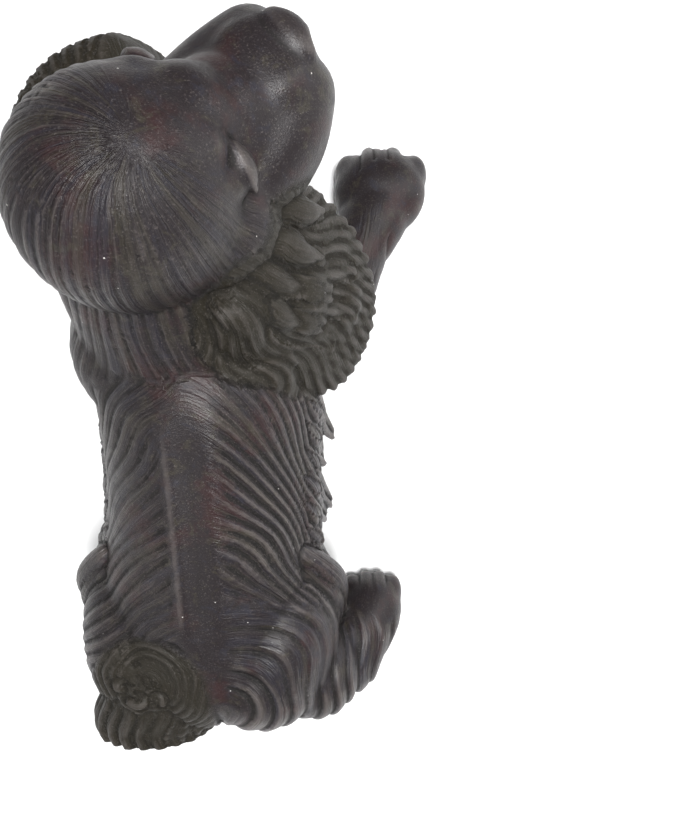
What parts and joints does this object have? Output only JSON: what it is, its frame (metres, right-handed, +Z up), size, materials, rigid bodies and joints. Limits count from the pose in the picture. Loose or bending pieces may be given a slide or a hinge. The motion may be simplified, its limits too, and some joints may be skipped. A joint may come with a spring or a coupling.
{
  "type": "spaniel garden statue",
  "caption": "Garden statue of a long-eared spaniel lying down, forelegs stretched ahead, head raised and turned, cast in one piece with a flat underside.",
  "frame": {"origin": "on the ground, under the middle of the statue's box", "axes": "+Z up, the dog's body faces -Y, its right side is towards -X"},
  "size_m": [0.2898, 0.404, 0.2568],
  "materials": {
    "stained_cast_stone": "satin"
  },
  "bodies": {
    "root": {"cocker_spaniel": "stained_cast_stone"}
  },
  "joints": []
}
